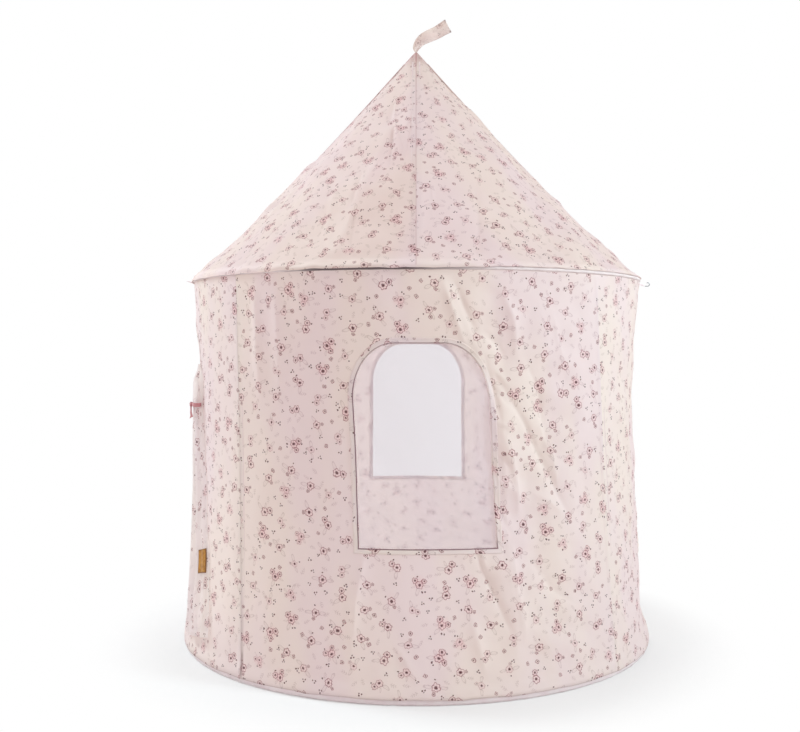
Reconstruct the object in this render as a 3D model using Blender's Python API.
"""A round play tent for a child: a drum of four fabric walls under a cone of four roof panels.

A wire hoop in a binding holds the foot open and another holds the eave. Four poles in sleeves on
the wall seams keep the hoops apart, and four rods in sleeves on the roof ridges meet in a hub.

The frame: metres, +Z up, the origin on the floor at the tent's middle. The window faces -Y and the
doorway faces -X. A turn is an angle about Z in degrees from the window's middle, positive to +X.
"""

import math

import bmesh
import bpy
from mathutils import Vector

for leftover in list(bpy.data.objects):
    bpy.data.objects.remove(leftover, do_unlink=True)

# Driving dimensions
BASE_RADIUS = 0.5155  # outside of the foot binding
EAVE_RADIUS = 0.4915  # middle of the eave hoop
EAVE_HEIGHT = 0.785  # middle of the eave hoop
APEX_HEIGHT = 1.304
CLOTH = 0.0012
GAP = 0.0003  # between pieces that touch
OVERRUN = 0.05  # how far a cutter runs past what it cuts

# Counts around and along
AROUND = 40  # facets in a full turn, the same for every ring and panel
WALL_ROWS = 6
ROOF_ROWS = 6
ROUND_SIDES = 8  # facets of a pole, rod or wire
PIPING_STEPS = 8
ARCH_STEPS = 6
HALVINGS = 40

# Foot hoop and its binding
BASE_WIRE = 0.006
BASE_BINDING_HEIGHT = 0.015
BASE_BINDING_SLIT = 0.0015

# Eave hoop and its piping
EAVE_WIRE = 0.005
EAVE_PIPING = 0.009
EAVE_SLIT_DEGREES = 40.0

# Wall
WALL_INSET = 0.001  # foot of the wall inside the face of the foot binding
EAVE_OVERHANG = 0.0025  # head of the wall inside the face of the eave piping
PANEL_SAG = 0.0265
DOOR_PANEL_SAG = 0.021
SEAM_SAG = 0.0055
SEAM_GAP = 0.0005
TWIST_DEGREES = 4.5  # the foot hoop stands turned against the eave hoop
CORNERS = {"front_left": -45.0, "front_right": 45.0, "back_right": 135.0, "back_left": -135.0}
WALLS = {"front": 0.0, "right": 90.0, "back": 180.0, "door": -90.0}

# Windows, one in the front wall and one in the back wall
WINDOW_TURNS = {"front": 1.6, "back": 179.6}
WINDOW_LEANS = {"front": 0.045, "back": 0.0}  # how far an opening moves sideways over its height
WINDOW_WIDTH = 0.256
WINDOW_SILL = 0.2735
WINDOW_HEAD = 0.650
WINDOW_CORNER_WIDE = 0.084
WINDOW_CORNER_TALL = 0.106
TRIM_WIDTH = 0.010
TRIM_LAP = 0.002  # how far the trim reaches in over the opening's edge

# Doorway
DOOR_WIDTH = 0.348
DOOR_SILL = 0.046
DOOR_HEAD = 0.710
DOOR_ARCH = 0.112

# Wall poles
POLE = 0.007
POLE_WALL = 0.0009
POLE_SPLIT = 0.40
SLEEVE_SLACK = 0.0004
POLE_CAP_LENGTH = 0.045
CAP_WALL = 0.0006
CAP_END = 0.004
FERRULE_LENGTH = 0.080
SLEEVE_STOP = 0.020  # a sleeve's head below the pole's

# Roof and its rods
RIDGES = {"front": 0.0, "right": 90.0, "back": 180.0, "left": -90.0}
ROOFS = {"front_left": -45.0, "front_right": 45.0, "back_right": 135.0, "back_left": -135.0}
APEX_HOLE = 0.004
RIDGE_SAG = 0.009
ROOF_SAG = 0.010
ROD = 0.006
ROD_SLEEVE_START = 0.032
ROD_SLEEVE_END = 0.034
ROD_CAP_LENGTH = 0.022
HUB_RADIUS = 0.014
HUB_TOP = 0.005
HUB_SKIRT = 0.024
HUB_DEPTH = 0.006  # how far a rod stops short of the middle

# Corner tabs and the wire hook at the eave
TAB_LENGTH = 0.021
TAB_DROPS = {"left": -0.006, "right": 0.007}  # how far each tip lies below its root
TAB_WIDE = 0.014
TAB_TALL = 0.008
TAB_TIP_SHARE = 0.25
HOOK_WIRE = 0.002
HOOK_REACH = 0.010
HOOK_CURL = 0.004

# Door curtains, folded back outside the wall
CURTAIN_TOP = 0.605
CURTAIN_HEM = 0.048
CURTAIN_WIDTH = 0.150
CURTAIN_FOLD = 0.014
CURTAIN_STANDOFF = 0.005  # off the trim that the top is sewn to
CURTAIN_CLOTH = 0.0018
CURTAIN_EDGE_STEP = 0.002
CURTAIN_FOLDS = 3
CURTAIN_ROWS_BELOW = 12  # from the hem to the ribbon
CURTAIN_ROWS_ABOVE = 4
CURTAIN_COLUMNS = 18
HINGE_STEP = 0.002  # axis of the curtain outside the foot binding
# Shares of the curtain's height, width, stand-off and fold depth, from hem to top
CURTAIN_SHARES = (
    (0.00, 1.00, 0.40, 0.62),
    (0.25, 0.78, 0.46, 0.80),
    (0.50, 0.52, 0.72, 0.90),
    (0.72, 0.32, 1.00, 0.95),
    (0.85, 0.20, 1.00, 0.86),
    (0.93, 0.24, 0.80, 0.80),
    (1.00, 0.09, 0.00, 0.25),
)
TIE_DROP = 0.084  # from the curtain's top to the middle of the ribbon
TIE_BAND = 0.011
TIE_CLOTH = 0.0012
TIE_SLACK = 0.001  # between the ribbon and the cloth that it gathers
TIE_KNOT = 0.009
TIE_TAIL = 0.026
TIE_TAIL_WIDTH = 0.008
LABEL_HEIGHT = 0.048
LABEL_WIDTH = 0.030
LABEL_MIDDLE = 0.205
LABEL_LEATHER = 0.0012
LABEL_GAP = 0.0005

# Flag
FLAG_WIDTH = 0.030
FLAG_STEM_WIDTH = 0.0055
FLAG_CLOTH = 0.0012
FLAG_UPRIGHT = 0.030
FLAG_REACH = 0.070
FLAG_LEAN_DEGREES = 32.0
FLAG_TWIST_DEGREES = 80.0
FLAG_EASE = 2.2  # how soon the flag leans over
FLAG_ROWS = 18

# Sizes worked out from the ones above
BASE_BINDING_WIDTH = BASE_WIRE + 2 * (GAP + CLOTH)
WALL_FOOT = BASE_BINDING_HEIGHT + GAP
WALL_FOOT_RADIUS = BASE_RADIUS - WALL_INSET
WALL_HEAD = EAVE_HEIGHT - EAVE_PIPING / 2 - GAP
WALL_HEAD_RADIUS = EAVE_RADIUS + EAVE_PIPING / 2 - EAVE_OVERHANG
SLEEVE_BORE = POLE / 2 + SLEEVE_SLACK
SLEEVE_RADIUS = SLEEVE_BORE + CLOTH
POLE_INSET = CLOTH + GAP + SLEEVE_RADIUS
POLE_CAP_RADIUS = POLE / 2 + GAP + CAP_WALL
POLE_FOOT = WALL_FOOT
POLE_HEAD = WALL_HEAD
POLE_STEP = CAP_END + GAP  # from a cap's closed end to the pole in it
ROD_BORE = ROD / 2 + SLEEVE_SLACK
ROD_SLEEVE_RADIUS = ROD_BORE + CLOTH
ROD_INSET = CLOTH + GAP + ROD_SLEEVE_RADIUS
ROD_CAP_RADIUS = ROD / 2 + GAP + CAP_WALL
STEP_DEGREES = 360.0 / AROUND
SLOPE = math.atan2(APEX_HEIGHT - EAVE_HEIGHT, EAVE_RADIUS)
SLOPE_OUT, SLOPE_UP = math.sin(SLOPE), math.cos(SLOPE)
ROOF_STEP = EAVE_PIPING / 2 + GAP + CLOTH
ROOF_EDGE_RADIUS = EAVE_RADIUS + ROOF_STEP * SLOPE_OUT
ROOF_EDGE_HEIGHT = EAVE_HEIGHT + ROOF_STEP * SLOPE_UP
DOOR_TURN = WALLS["door"]
HINGE_RADIUS = BASE_RADIUS + HINGE_STEP
CURTAIN_SEAT = 2 * GAP + CLOTH  # from the wall to what lies on the trim
TIE_HEIGHT = CURTAIN_TOP - TIE_DROP
DOOR_HALF_TURN = math.degrees(math.asin(DOOR_WIDTH / 2 / WALL_FOOT_RADIUS))


def material(name, colour, roughness, metallic=0.0):
    made = bpy.data.materials.new(name)
    made.use_nodes = True
    shader = made.node_tree.nodes["Principled BSDF"]
    shader.inputs["Base Color"].default_value = (*colour, 1.0)
    shader.inputs["Roughness"].default_value = roughness
    shader.inputs["Metallic"].default_value = metallic
    made.diffuse_color = (*colour, 1.0)
    return made


PRINT_CLOTH = material("printed_cotton", (0.80, 0.64, 0.60), 0.9)
ROOF_CLOTH = material("printed_cotton_roof", (0.78, 0.62, 0.58), 0.9)
CURTAIN_CLOTH_FINISH = material("printed_cotton_curtain", (0.82, 0.66, 0.64), 0.9)
PLAIN_CLOTH = material("plain_cloth", (0.84, 0.76, 0.74), 0.85)
SLEEVE_CLOTH = material("sleeve_cloth", (0.80, 0.70, 0.68), 0.85)
TRIM_CLOTH = material("edge_binding", (0.66, 0.50, 0.48), 0.85)
NET = material("window_net", (0.86, 0.84, 0.86), 0.7)
RIBBON = material("rose_ribbon", (0.62, 0.28, 0.30), 0.6)
LEATHER = material("tan_leather", (0.40, 0.19, 0.03), 0.55)
WIRE = material("spring_wire", (0.50, 0.51, 0.52), 0.35, 1.0)
POLE_FINISH = material("white_pole", (0.78, 0.78, 0.76), 0.4)
PLASTIC = material("grey_plastic", (0.22, 0.22, 0.23), 0.5)


def around(turn):
    """Unit vectors out from the middle and along the wall at a turn."""
    angle = math.radians(turn)
    out = Vector((math.sin(angle), -math.cos(angle), 0.0))
    along = Vector((math.cos(angle), math.sin(angle), 0.0))
    return out, along


def place(mesh_builder, name, finish, smooth=False):
    """Turn a bmesh into a named object with its own copy of a finish."""
    bmesh.ops.recalc_face_normals(mesh_builder, faces=mesh_builder.faces)
    mesh = bpy.data.meshes.new(name)
    mesh_builder.to_mesh(mesh)
    mesh_builder.free()
    mesh.materials.append(finish)
    if smooth:
        mesh.shade_smooth()
        mesh.set_sharp_from_angle(angle=math.radians(50.0))
    made = bpy.data.objects.new(name, mesh)
    bpy.context.scene.collection.objects.link(made)
    return made


def loft(builder, sections, loop=False):
    """Skin a row of matching closed outlines, joined end to end or closed by a face at each end."""
    rings = [[builder.verts.new(point) for point in section] for section in sections]
    pairs = list(zip(rings, rings[1:] + rings[:1])) if loop else list(zip(rings, rings[1:]))
    for low, high in pairs:
        for i in range(len(low)):
            j = (i + 1) % len(low)
            builder.faces.new((low[i], low[j], high[j], high[i]))
    if not loop:
        builder.faces.new(rings[0])
        builder.faces.new(rings[-1])


def shell(outer, inner):
    """A closed body between two grids of points that have the same rows and columns.

    The facets are flat triangles that lie alike in both grids, so layers keep their distance.
    """
    builder = bmesh.new()
    faces = [[[builder.verts.new(p) for p in row] for row in grid] for grid in (outer, inner)]
    rows, columns = len(outer), len(outer[0])
    for grid in faces:
        for r in range(rows - 1):
            for c in range(columns - 1):
                builder.faces.new((grid[r][c], grid[r][c + 1], grid[r + 1][c + 1]))
                builder.faces.new((grid[r][c], grid[r + 1][c + 1], grid[r + 1][c]))
    rim = [(0, c) for c in range(columns)]
    rim += [(r, columns - 1) for r in range(1, rows)]
    rim += [(rows - 1, c) for c in range(columns - 2, -1, -1)]
    rim += [(r, 0) for r in range(rows - 2, 0, -1)]
    front, back = faces
    for (r, c), (s, d) in zip(rim, rim[1:] + rim[:1]):
        builder.faces.new((front[r][c], front[s][d], back[s][d], back[r][c]))
    return builder


def circle(centre, side, up, radius, sides=ROUND_SIDES):
    """A round outline about a centre, in the plane of two unit vectors."""
    angles = [2 * math.pi * i / sides for i in range(sides)]
    return [centre + side * (radius * math.cos(a)) + up * (radius * math.sin(a)) for a in angles]


def rod_body(builder, centres, side, up, radius):
    loft(builder, [circle(c, side, up, radius) for c in centres])


def tube_body(builder, centres, side, up, radius, bore):
    skin = [circle(c, side, up, radius) for c in centres]
    hole = [circle(c, side, up, bore) for c in reversed(centres)]
    loft(builder, skin + hole, loop=True)


def cup_body(builder, shut_end, axis, side, up, radius, bore, length, end_wall):
    """A cap that is shut at one end; axis points from the shut end to the open one."""
    mouth = shut_end + axis * length
    floor = shut_end + axis * end_wall
    outline = [(shut_end, radius), (mouth, radius), (mouth, bore), (floor, bore)]
    loft(builder, [circle(c, side, up, r) for c, r in outline])


def cutter(builder, name):
    made = place(builder, name, PLAIN_CLOTH)
    made.hide_render = True
    made.display_type = "WIRE"
    return made


def cut(piece, tool, operation="DIFFERENCE"):
    change = piece.modifiers.new(tool.name, "BOOLEAN")
    change.operation = operation
    change.solver = "EXACT"
    change.object = tool


# The shape of the wall and the roof


def wall_share(z):
    return (z - WALL_FOOT) / (WALL_HEAD - WALL_FOOT)


def seam_turn(turn, z):
    """Where a line that stands at a turn on the eave hoop has moved to at height z."""
    return turn + TWIST_DEGREES * (1 - wall_share(z))


def wall_radius(turn, z):
    """Radius of the wall's outer face: a straight taper drawn in between the hoops."""
    share = wall_share(z)
    panel_turn = (turn - TWIST_DEGREES * (1 - share)) % 360.0
    middle = math.cos(math.radians(2 * panel_turn)) ** 2
    is_door = CORNERS["back_left"] % 360.0 < panel_turn < CORNERS["front_left"] % 360.0
    sag = DOOR_PANEL_SAG if is_door else PANEL_SAG
    drawn_in = 4 * share * (1 - share) * (sag * middle + SEAM_SAG * (1 - middle))
    return WALL_FOOT_RADIUS + (WALL_HEAD_RADIUS - WALL_FOOT_RADIUS) * share - drawn_in


def wall_point(turn, z, out=0.0):
    direction, _ = around(turn)
    return direction * (wall_radius(turn, z) + out) + Vector((0.0, 0.0, z))


def roof_point(turn, share, inside=0.0):
    """A point on the roof's outer face, by its share of the way from the eave to the apex."""
    direction, _ = around(turn)
    between = math.sin(math.radians(2 * turn)) ** 2
    drawn_in = 4 * share * (1 - share) * (RIDGE_SAG + ROOF_SAG * between)
    radius = ROOF_EDGE_RADIUS + (APEX_HOLE - ROOF_EDGE_RADIUS) * share - drawn_in
    height = ROOF_EDGE_HEIGHT + (APEX_HEIGHT - ROOF_EDGE_HEIGHT) * share
    point = direction * radius + Vector((0.0, 0.0, height))
    return point - (direction * SLOPE_OUT + Vector((0.0, 0.0, SLOPE_UP))) * inside


def wall_heights():
    return [WALL_FOOT + (WALL_HEAD - WALL_FOOT) * i / WALL_ROWS for i in range(WALL_ROWS + 1)]


def neighbours(values, value):
    """The two of a rising row of values that a value lies between, and its share of the way."""
    for low, high in zip(values, values[1:]):
        if value <= high:
            return low, high, (value - low) / (high - low)
    raise ValueError(value)


def facet_radius(turn, z):
    """Radius of the wall's flat facets where they cross a turn and a height."""
    below, above, up = neighbours(wall_heights(), z)
    out, along = around(turn)
    first = math.floor((turn - TWIST_DEGREES * (1 - wall_share(z))) / STEP_DEGREES) - 1
    line = []
    for i in range(first, first + 4):
        foot = wall_point(seam_turn(STEP_DEGREES * i, below), below)
        for j in (i, i + 1):
            line.append(foot.lerp(wall_point(seam_turn(STEP_DEGREES * j, above), above), up))
    for start, end in zip(line, line[1:]):
        back, ahead = start.dot(along), end.dot(along)
        if back <= 0 < ahead:
            return start.lerp(end, back / (back - ahead)).dot(out)
    raise ValueError(turn)


def panel_turns(middle):
    quarter = AROUND // 8
    return [middle + STEP_DEGREES * i for i in range(-quarter, quarter + 1)]


def trimmed(points, edge_gap):
    """Draw the two ends of a row of points in along the row, so that neighbours don't meet."""
    first, last = points[0], points[-1]
    start = first + (points[1] - first).normalized() * edge_gap
    end = last + (points[-2] - last).normalized() * edge_gap
    return [start, *points[1:-1], end]


def wall_skin(middle, low, high):
    """A quarter of the wall as a body between two distances out from its outer face."""
    grids = []
    for out in (high, low):
        rows = []
        for z in wall_heights():
            row = [wall_point(seam_turn(t, z), z, out) for t in panel_turns(middle)]
            rows.append(trimmed(row, SEAM_GAP / 2))
        grids.append(rows)
    return shell(*grids)


def arch(width, sill, head, corner_wide, corner_tall, grow=0.0):
    """Outline of an opening with square feet and round shoulders, as (across, up) pairs."""
    half, foot, top = width / 2 + grow, sill - grow, head + grow
    wide, tall = corner_wide + grow, corner_tall + grow
    points = [(-half, foot), (half, foot)]
    for side, order in ((1, range(ARCH_STEPS + 1)), (-1, range(ARCH_STEPS, -1, -1))):
        for i in order:
            angle = math.pi / 2 * i / ARCH_STEPS
            across = half - wide + wide * math.cos(angle)
            points.append((side * across, top - tall + tall * math.sin(angle)))
    return points


def window_arch(name, grow=0.0):
    """Outline of a window, which leans with the cloth that it is cut in."""
    sizes = (WINDOW_WIDTH, WINDOW_SILL, WINDOW_HEAD, WINDOW_CORNER_WIDE, WINDOW_CORNER_TALL)
    middle = (WINDOW_SILL + WINDOW_HEAD) / 2
    return [(a + WINDOW_LEANS[name] * (middle - z), z) for a, z in arch(*sizes, grow)]


def door_arch(grow=0.0):
    # The shoulders stop short of the middle, so that the two never share a point.
    return arch(DOOR_WIDTH, DOOR_SILL, DOOR_HEAD, DOOR_WIDTH / 2 - TRIM_WIDTH, DOOR_ARCH, grow)


def through(turn, outline, depth):
    """An outline set in the wall's face at a turn, at a distance out from the tent's middle."""
    out, along = around(turn)
    return [along * a + out * depth + Vector((0.0, 0.0, z)) for a, z in outline]


def block(name, turn, outline):
    """A cutter as deep as the wall, with the shape of an opening."""
    near, far = WALL_HEAD_RADIUS / 2, max(BASE_RADIUS, WALL_HEAD_RADIUS) + OVERRUN
    builder = bmesh.new()
    loft(builder, [through(turn, outline, near), through(turn, outline, far)])
    return cutter(builder, name)


def frame_block(name, turn, outside, inside):
    """A cutter like a picture frame, which keeps the trim around an opening."""
    near, far = WALL_HEAD_RADIUS / 2, max(BASE_RADIUS, WALL_HEAD_RADIUS) + OVERRUN
    order = ((outside, near), (outside, far), (inside, far), (inside, near))
    builder = bmesh.new()
    loft(builder, [through(turn, outline, depth) for outline, depth in order], loop=True)
    return cutter(builder, name)


# Foot and eave hoops


def hoop(name, finish, section):
    """Turn a closed outline of (radius, height) pairs about Z."""
    builder = bmesh.new()
    turns = [STEP_DEGREES * i for i in range(AROUND)]
    up = Vector((0.0, 0.0, 1.0))
    loft(builder, [[around(t)[0] * r + up * z for r, z in section] for t in turns], loop=True)
    return place(builder, name, finish, smooth=True)


def round_section(radius, height, size, sides=ROUND_SIDES):
    half = size / 2 / math.cos(math.pi / sides)
    angles = [2 * math.pi * (i + 0.5) / sides for i in range(sides)]
    return [(radius + half * math.cos(a), height + half * math.sin(a)) for a in angles]


def foot_hoop():
    middle = BASE_RADIUS - BASE_BINDING_WIDTH / 2
    wire_height = CLOTH + GAP + BASE_WIRE / 2
    hoop("base_hoop_wire", WIRE, round_section(middle, wire_height, BASE_WIRE))
    inner, outer = BASE_RADIUS - BASE_BINDING_WIDTH, BASE_RADIUS
    bevel = CLOTH
    slit_low = (BASE_BINDING_HEIGHT - BASE_BINDING_SLIT) / 2
    slit_high = slit_low + BASE_BINDING_SLIT
    outline = [
        (inner, slit_low),
        (inner, 0.0),
        (outer - bevel, 0.0),
        (outer, bevel),
        (outer, BASE_BINDING_HEIGHT - bevel),
        (outer - bevel, BASE_BINDING_HEIGHT),
        (inner, BASE_BINDING_HEIGHT),
        (inner, slit_high),
        (inner + CLOTH, slit_high),
        (inner + CLOTH, BASE_BINDING_HEIGHT - CLOTH),
        (outer - CLOTH, BASE_BINDING_HEIGHT - CLOTH),
        (outer - CLOTH, CLOTH),
        (inner + CLOTH, CLOTH),
        (inner + CLOTH, slit_low),
    ]
    hoop("base_hoop_binding", PLAIN_CLOTH, outline)


def eave_hoop():
    hoop("eave_hoop_wire", WIRE, round_section(EAVE_RADIUS, EAVE_HEIGHT, EAVE_WIRE))
    skin, bore = EAVE_PIPING / 2, EAVE_WIRE / 2 / math.cos(math.pi / ROUND_SIDES) + GAP
    slit = math.radians(EAVE_SLIT_DEGREES)
    start = math.pi + slit / 2
    angles = [start + (2 * math.pi - slit) * i / PIPING_STEPS for i in range(PIPING_STEPS + 1)]
    hollow = bore / math.cos(math.pi / PIPING_STEPS)
    outline = [(skin, a) for a in angles] + [(hollow, a) for a in angles[::-1]]
    section = [(EAVE_RADIUS + r * math.cos(a), EAVE_HEIGHT + r * math.sin(a)) for r, a in outline]
    hoop("eave_hoop_piping", PLAIN_CLOTH, section)


def floor_sheet():
    radius = BASE_RADIUS - BASE_BINDING_WIDTH - GAP
    builder = bmesh.new()
    outline = [around(STEP_DEGREES * i)[0] * radius for i in range(AROUND)]
    lift = Vector((0.0, 0.0, CLOTH))
    loft(builder, [outline, [point + lift for point in outline]])
    place(builder, "floor_sheet", PLAIN_CLOTH)


# Walls, windows and doorway


def walls():
    made = {}
    for name, middle in WALLS.items():
        skin = wall_skin(middle, -CLOTH, 0.0)
        made[name] = place(skin, f"wall_{name}", PRINT_CLOTH, smooth=True)
    for name, turn in WINDOW_TURNS.items():
        cut(made[name], block(f"cut_window_{name}", turn, window_arch(name)))
        net = place(wall_skin(WALLS[name], -CLOTH, 0.0), f"window_net_{name}", NET, smooth=True)
        cut(net, block(f"keep_net_{name}", turn, window_arch(name, -GAP)), "INTERSECT")
        skin = wall_skin(WALLS[name], GAP, GAP + CLOTH)
        trim = place(skin, f"window_trim_{name}", TRIM_CLOTH, smooth=True)
        band = (window_arch(name, TRIM_WIDTH - TRIM_LAP), window_arch(name, -TRIM_LAP))
        cut(trim, frame_block(f"keep_trim_{name}", turn, *band), "INTERSECT")
    cut(made["door"], block("cut_doorway", DOOR_TURN, door_arch()))
    trim = place(wall_skin(DOOR_TURN, GAP, GAP + CLOTH), "door_trim", TRIM_CLOTH, smooth=True)
    band = (door_arch(TRIM_WIDTH - TRIM_LAP), door_arch(-TRIM_LAP))
    cut(trim, frame_block("keep_door_trim", DOOR_TURN, *band), "INTERSECT")


# Wall poles in their sleeves


def pole_point(corner, z):
    """Middle of a wall pole at height z, inside the seam that it stands behind."""
    return wall_point(seam_turn(CORNERS[corner], z), z, -POLE_INSET)


def pole_run(corner, low, high):
    """The pole's middle from one height to another, with the wall's own rows between."""
    between = [z for z in wall_heights() if low < z < high]
    return [pole_point(corner, z) for z in [low, *between, high]]


def lower_pole(builder, corner, low, along, out):
    """The lower half of a pole: a tube with a ferrule fixed in its head, which stands out of it."""
    bore = POLE / 2 - POLE_WALL
    lumen = pole_run(corner, low, POLE_SPLIT - FERRULE_LENGTH / 2)
    skin = pole_run(corner, low, POLE_SPLIT)
    spigot = pole_run(corner, POLE_SPLIT, POLE_SPLIT + FERRULE_LENGTH / 2)
    stations = [(c, bore) for c in reversed(lumen)]
    stations += [(c, POLE / 2) for c in skin]
    stations += [(c, bore - GAP) for c in spigot]
    loft(builder, [circle(c, along, out, r) for c, r in stations])


def wall_poles():
    low = POLE_FOOT + POLE_STEP
    high = POLE_HEAD
    sleeve_low = POLE_FOOT + POLE_CAP_LENGTH + GAP
    sleeve_high = POLE_HEAD - SLEEVE_STOP
    for corner, turn in CORNERS.items():
        out, along = around(turn)
        builder = bmesh.new()
        run = pole_run(corner, sleeve_low, sleeve_high)
        tube_body(builder, run, along, out, SLEEVE_RADIUS, SLEEVE_BORE)
        place(builder, f"pole_sleeve_{corner}", SLEEVE_CLOTH, smooth=True)
        builder = bmesh.new()
        lower_pole(builder, corner, low, along, out)
        place(builder, f"wall_pole_lower_{corner}", POLE_FINISH, smooth=True)
        builder = bmesh.new()
        run = pole_run(corner, POLE_SPLIT + GAP, high)
        tube_body(builder, run, along, out, POLE / 2, POLE / 2 - POLE_WALL)
        place(builder, f"wall_pole_upper_{corner}", POLE_FINISH, smooth=True)
        shut = pole_point(corner, POLE_FOOT)
        mouth = pole_point(corner, POLE_FOOT + POLE_CAP_LENGTH)
        axis = (mouth - shut) / POLE_CAP_LENGTH
        builder = bmesh.new()
        sizes = (POLE_CAP_RADIUS, POLE / 2 + GAP, POLE_CAP_LENGTH, CAP_END)
        cup_body(builder, shut, axis, along, out, *sizes)
        place(builder, f"pole_foot_cap_{corner}", PLASTIC, smooth=True)


# Roof, its rods, hub and eave fittings


def roof_shares():
    return [i / ROOF_ROWS for i in range(ROOF_ROWS + 1)]


def roof_panels():
    for name, middle in ROOFS.items():
        grids = []
        for inside in (0.0, CLOTH):
            rows = []
            for share in roof_shares():
                row = [roof_point(t, share, inside) for t in panel_turns(middle)]
                rows.append(trimmed(row, SEAM_GAP / 2))
            grids.append(rows)
        place(shell(*grids), f"roof_panel_{name}", ROOF_CLOTH, smooth=True)


def ridge_run(turn, first, last):
    """Middle of a roof rod between two distances from the eave hoop's middle, along the slope."""
    length = (roof_point(turn, 1.0, ROD_INSET) - roof_point(turn, 0.0, ROD_INSET)).length
    low, high = first / length, last / length
    between = [s for s in roof_shares() if low < s < high]
    return [roof_point(turn, s, ROD_INSET) for s in [low, *between, high]]


def roof_rods():
    eave_clear = EAVE_PIPING / 2 + GAP
    for name, turn in RIDGES.items():
        out, along = around(turn)
        up = out * SLOPE_OUT + Vector((0.0, 0.0, SLOPE_UP))
        length = (roof_point(turn, 1.0, ROD_INSET) - roof_point(turn, 0.0, ROD_INSET)).length
        hub_reach = HUB_DEPTH / SLOPE_UP
        builder = bmesh.new()
        rod = ridge_run(turn, eave_clear + POLE_STEP, length - hub_reach)
        rod_body(builder, rod, along, up, ROD / 2)
        place(builder, f"roof_rod_{name}", POLE_FINISH, smooth=True)
        builder = bmesh.new()
        sleeve = ridge_run(turn, ROD_SLEEVE_START, length - ROD_SLEEVE_END)
        tube_body(builder, sleeve, along, up, ROD_SLEEVE_RADIUS, ROD_BORE)
        place(builder, f"ridge_sleeve_{name}", SLEEVE_CLOTH, smooth=True)
        shut, mouth = ridge_run(turn, eave_clear, eave_clear + ROD_CAP_LENGTH)
        axis = (mouth - shut).normalized()
        sizes = (ROD_CAP_RADIUS, ROD / 2 + GAP, ROD_CAP_LENGTH, CAP_END)
        builder = bmesh.new()
        cup_body(builder, shut, axis, along, up, *sizes)
        place(builder, f"rod_end_cap_{name}", PLASTIC, smooth=True)


def under_peak(radius):
    """Height that clears the inner face of the roof at a small radius, found by halving."""
    low, high = 0.5, 1.0
    for _ in range(HALVINGS):
        share = (low + high) / 2
        point = roof_point(ROOFS["front_right"], share, CLOTH + 2 * GAP)
        if point.xy.length > radius:
            low = share
        else:
            high = share
    return point.z


def apex_hub():
    """A moulded piece with four slanting sockets under the peak of the roof."""
    side, ahead = Vector((1.0, 0.0, 0.0)), Vector((0.0, 1.0, 0.0))
    rim_height = under_peak(HUB_RADIUS)
    outline = [(HUB_RADIUS, rim_height - HUB_SKIRT), (HUB_RADIUS, rim_height)]
    outline.append((HUB_TOP, under_peak(HUB_TOP)))
    builder = bmesh.new()
    sides = 2 * ROUND_SIDES
    loft(builder, [circle(Vector((0.0, 0.0, z)), side, ahead, r, sides) for r, z in outline])
    hub = place(builder, "apex_hub", PLASTIC, smooth=True)
    for name, turn in RIDGES.items():
        out, along = around(turn)
        up = out * SLOPE_OUT + Vector((0.0, 0.0, SLOPE_UP))
        length = (roof_point(turn, 1.0, ROD_INSET) - roof_point(turn, 0.0, ROD_INSET)).length
        socket_end = length - HUB_DEPTH / SLOPE_UP + GAP
        builder = bmesh.new()
        rod_body(builder, ridge_run(turn, length - OVERRUN, socket_end), along, up, ROD / 2 + GAP)
        cut(hub, cutter(builder, f"cut_socket_{name}"))


def eave_tabs():
    """Pointed cloth corners that stand out under the foot of the ridges at the sides."""
    start = EAVE_PIPING / 2 + GAP
    for name, drop in TAB_DROPS.items():
        out, along = around(RIDGES[name])
        up = Vector((0.0, 0.0, 1.0))
        root = out * (EAVE_RADIUS + start) + up * EAVE_HEIGHT
        tip = root + out * TAB_LENGTH - up * drop
        sections = []
        for centre, share in ((root, 1.0), (tip, TAB_TIP_SHARE)):
            wide, tall = TAB_WIDE / 2 * share, TAB_TALL / 2 * share
            corners = ((-1, 0), (0, -1), (1, 0), (0, 1))
            sections.append([centre + along * (a * wide) + up * (b * tall) for a, b in corners])
        builder = bmesh.new()
        loft(builder, sections)
        place(builder, f"eave_tab_{name}", PRINT_CLOTH)


def eave_hook():
    """The bent end of wire that shows past the right-hand corner tab."""
    out, along = around(RIDGES["right"])
    up = Vector((0.0, 0.0, 1.0))
    start_radius = EAVE_RADIUS + EAVE_PIPING / 2 + GAP + TAB_LENGTH + GAP
    start = out * start_radius + up * (EAVE_HEIGHT - TAB_DROPS["right"])
    curl = HOOK_CURL
    bend = start + out * (HOOK_REACH - curl)
    points = [start, (start + bend) / 2]
    for i in range(ROUND_SIDES - 1):
        angle = math.radians(-90.0 + 210.0 * i / (ROUND_SIDES - 2))
        points.append(bend + up * curl + (out * math.cos(angle) + up * math.sin(angle)) * curl)
    curve = bpy.data.curves.new("eave_hook", "CURVE")
    curve.dimensions = "3D"
    curve.bevel_depth = HOOK_WIRE / 2
    curve.bevel_resolution = 1
    curve.use_fill_caps = True
    spline = curve.splines.new("POLY")
    spline.points.add(len(points) - 1)
    for knot, point in zip(spline.points, points):
        knot.co = (*point, 1.0)
    curve.materials.append(WIRE)
    made = bpy.data.objects.new("eave_hook", curve)
    bpy.context.scene.collection.objects.link(made)


# Door curtains with their ribbon ties and the label


def curtain_sizes(share):
    """Width, stand-off and fold depth of a curtain at a share of its height above the hem."""
    for low, high in zip(CURTAIN_SHARES, CURTAIN_SHARES[1:]):
        if share <= high[0]:
            blend = (share - low[0]) / (high[0] - low[0])
            blend = blend * blend * (3 - 2 * blend)
            width, standoff, fold = (a + (b - a) * blend for a, b in zip(low[1:], high[1:]))
            return width * CURTAIN_WIDTH, standoff * CURTAIN_STANDOFF, fold * CURTAIN_FOLD
    raise ValueError(share)


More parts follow.
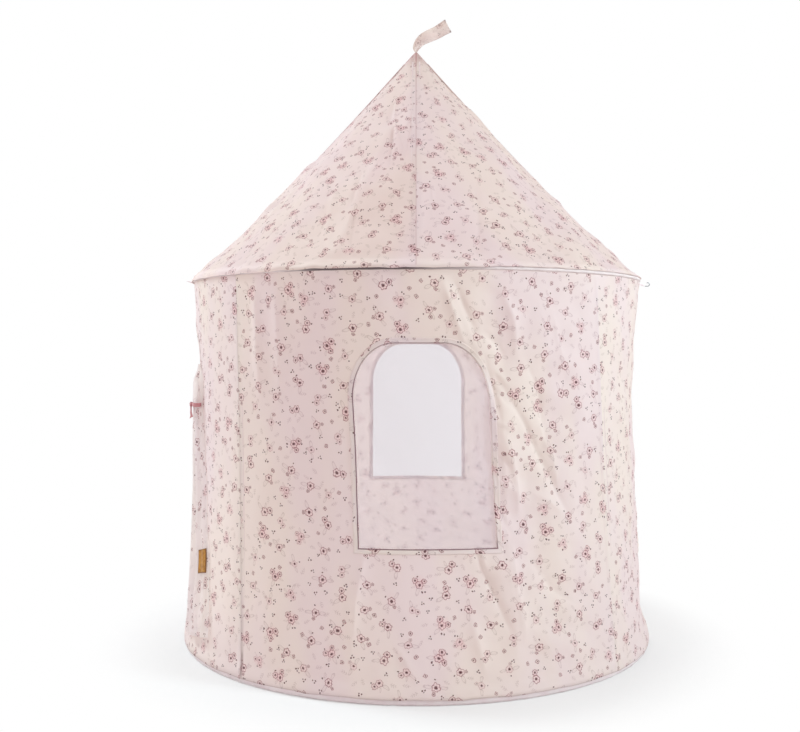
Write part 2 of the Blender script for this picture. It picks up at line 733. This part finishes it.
def curtain_out(across_share, z):
    """How far a curtain's inner face stands out from the wall."""
    width, standoff, fold = curtain_sizes((z - CURTAIN_HEM) / (CURTAIN_TOP - CURTAIN_HEM))
    wave = (1 - math.cos(2 * math.pi * CURTAIN_FOLDS * across_share)) / 2
    return CURTAIN_SEAT + standoff + fold * wave, width


def beside_door(side, along, z, out):
    """A point outside the wall, at a distance along it from the doorway's edge."""
    radius = wall_radius(DOOR_TURN + side * DOOR_HALF_TURN, z)
    turn = DOOR_TURN + side * math.degrees(math.asin(DOOR_WIDTH / 2 / radius) + along / radius)
    direction, _ = around(turn)
    return direction * (facet_radius(turn, z) + out) + Vector((0.0, 0.0, z))


def curtain_point(side, across_share, z, lift):
    out, width = curtain_out(across_share, z)
    return beside_door(side, CURTAIN_EDGE_STEP + width * across_share, z, out + lift)


def hinge_empty(name, side):
    """The vertical axis that a curtain turns about, at the edge that it is sewn to."""
    out, _ = around(DOOR_TURN + side * DOOR_HALF_TURN)
    made = bpy.data.objects.new(name, None)
    made.location = out * HINGE_RADIUS + Vector((0.0, 0.0, CURTAIN_HEM))
    bpy.context.scene.collection.objects.link(made)
    return made


def hang_on(piece, axis):
    """Parent a piece to its axis without moving it."""
    piece.parent = axis
    piece.matrix_parent_inverse.identity()
    piece.location = piece.location - axis.location


def curtain_heights():
    """Rows of a curtain, with one at each edge of the ribbon that gathers it."""
    low, high = TIE_HEIGHT - TIE_BAND / 2, TIE_HEIGHT + TIE_BAND / 2
    below, above = CURTAIN_ROWS_BELOW, CURTAIN_ROWS_ABOVE
    heights = [CURTAIN_HEM + (low - CURTAIN_HEM) * i / below for i in range(below + 1)]
    return heights + [high + (CURTAIN_TOP - high) * i / above for i in range(above + 1)]


def curtain_columns():
    return [i / CURTAIN_COLUMNS for i in range(CURTAIN_COLUMNS + 1)]


def on_curtain(side, across_share, z, lift):
    """A point over the flat facets of a curtain's outer face."""
    left, right, across = neighbours(curtain_columns(), across_share)
    below, above, up = neighbours(curtain_heights(), z)
    edges = []
    for height in (below, above):
        start = curtain_point(side, left, height, CURTAIN_CLOTH + lift)
        edges.append(start.lerp(curtain_point(side, right, height, CURTAIN_CLOTH + lift), across))
    return edges[0].lerp(edges[1], up)


def curtain(name, side):
    grids = []
    for lift in (CURTAIN_CLOTH, 0.0):
        rows = [[curtain_point(side, s, z, lift) for s in curtain_columns()] for z in curtain_heights()]
        grids.append(rows)
    return place(shell(*grids), name, CURTAIN_CLOTH_FINISH, smooth=True)


def tie_slab(band, part, side, low, high):
    """Join a block between two (along, out, z) corners to the ribbon's band."""
    (first, inner, foot), (last, outer, head) = low, high
    outline = [(first, inner), (last, inner), (last, outer), (first, outer)]
    builder = bmesh.new()
    loft(builder, [[beside_door(side, a, z, o) for a, o in outline] for z in (foot, head)])
    cut(band, cutter(builder, f"{band.name}_{part}"), "UNION")


def tie(name, side):
    """A ribbon round the gathered curtain, knotted outside, with two loose tails."""
    bottom, top = TIE_HEIGHT - TIE_BAND / 2, TIE_HEIGHT + TIE_BAND / 2
    folded = [curtain_out(0.5 / CURTAIN_FOLDS, z) for z in (bottom, TIE_HEIGHT, top)]
    clear = TIE_SLACK + TIE_CLOTH
    low = min(curtain_out(0.0, z)[0] for z in (bottom, TIE_HEIGHT, top)) - clear
    high = max(out for out, _ in folded) + CURTAIN_CLOTH + clear
    left = CURTAIN_EDGE_STEP - GAP - TIE_CLOTH
    right = CURTAIN_EDGE_STEP + max(width for _, width in folded) + clear
    bevel = TIE_CLOTH / 2
    corners = [(left + bevel, low), (right - bevel, low), (right, low + bevel), (right, high - bevel)]
    corners += [(right - bevel, high), (left + bevel, high), (left, high - bevel), (left, low + bevel)]
    middle, middle_out = (left + right) / 2, (low + high) / 2
    sections = []
    for along, out in corners:
        inner = along + math.copysign(TIE_CLOTH, middle - along)
        inner_out = out + math.copysign(TIE_CLOTH, middle_out - out)
        section = [(along, bottom, out), (along, top, out)]
        section += [(inner, top, inner_out), (inner, bottom, inner_out)]
        sections.append([beside_door(side, *point) for point in section])
    builder = bmesh.new()
    loft(builder, sections, loop=True)
    band = place(builder, name, RIBBON)
    half = TIE_KNOT / 2
    knot_low = (middle - half, high - TIE_CLOTH / 2, TIE_HEIGHT - half)
    tie_slab(band, "knot", side, knot_low, (middle + half, high + half, TIE_HEIGHT + half))
    for part, start in (("tail_near", middle - TIE_TAIL_WIDTH), ("tail_far", middle + GAP)):
        tail_low = (start, high + TIE_CLOTH, TIE_HEIGHT - TIE_TAIL)
        tail_high = (start + TIE_TAIL_WIDTH, high + 2 * TIE_CLOTH, TIE_HEIGHT)
        tie_slab(band, part, side, tail_low, tail_high)
    return band


def label(name, side):
    """A blank leather patch on the free edge of the near curtain."""
    _, width = curtain_out(0.0, LABEL_MIDDLE)
    first = 1.0 - LABEL_WIDTH / width
    shares = [first, *[share for share in curtain_columns() if share > first]]
    low, high = LABEL_MIDDLE - LABEL_HEIGHT / 2, LABEL_MIDDLE + LABEL_HEIGHT / 2
    heights = [low, *[z for z in curtain_heights() if low < z < high], high]
    grids = []
    for lift in (LABEL_GAP + LABEL_LEATHER, LABEL_GAP):
        grids.append([[on_curtain(side, share, z, lift) for share in shares] for z in heights])
    return place(shell(*grids), name, LEATHER)


def door_curtains():
    for name, side in (("front", 1), ("back", -1)):
        axis = hinge_empty(f"axis_curtain_{name}", side)
        hang_on(curtain(f"curtain_{name}", side), axis)
        hang_on(tie(f"tie_{name}", side), axis)
        if name == "front":
            hang_on(label("leather_label", side), axis)


# Flag


def apex_flag():
    """A loose ribbon of cloth that rises from the peak, twists and blows over to the right."""
    lean = math.radians(FLAG_LEAN_DEGREES)
    root = Vector((0.0, 0.0, under_peak(HUB_TOP) + GAP))
    right, up = Vector((1.0, 0.0, 0.0)), Vector((0.0, 0.0, 1.0))
    stem = APEX_HEIGHT - root.z
    length = stem + FLAG_UPRIGHT + FLAG_REACH
    grids = ([], [])
    point = root.copy()
    for i in range(FLAG_ROWS + 1):
        travel = length * i / FLAG_ROWS
        bend = min(max((travel - stem) / (2 * FLAG_UPRIGHT), 0.0), 1.0)
        bend = 1 - (1 - bend) ** FLAG_EASE
        angle = math.pi / 2 + (lean - math.pi / 2) * bend
        heading = right * math.cos(angle) + up * math.sin(angle)
        if i:
            point = point + heading * (length / FLAG_ROWS)
        spread = min(max((travel - stem) / FLAG_UPRIGHT, 0.0), 1.0)
        width = FLAG_STEM_WIDTH + (FLAG_WIDTH - FLAG_STEM_WIDTH) * spread * spread
        roll = math.radians(FLAG_TWIST_DEGREES) * (1 - bend)
        flat = heading.cross(Vector((0.0, 1.0, 0.0)))
        across = flat * math.cos(roll) + Vector((0.0, 1.0, 0.0)) * math.sin(roll)
        normal = heading.cross(across)
        for grid, face in zip(grids, (0.5, -0.5)):
            middle = point + normal * (FLAG_CLOTH * face)
            grid.append([middle + across * (width * share) for share in (-0.5, 0.0, 0.5)])
    place(shell(*grids), "apex_flag", CURTAIN_CLOTH_FINISH)


floor_sheet()
foot_hoop()
eave_hoop()
walls()
wall_poles()
roof_panels()
roof_rods()
apex_hub()
eave_tabs()
eave_hook()
door_curtains()
apex_flag()
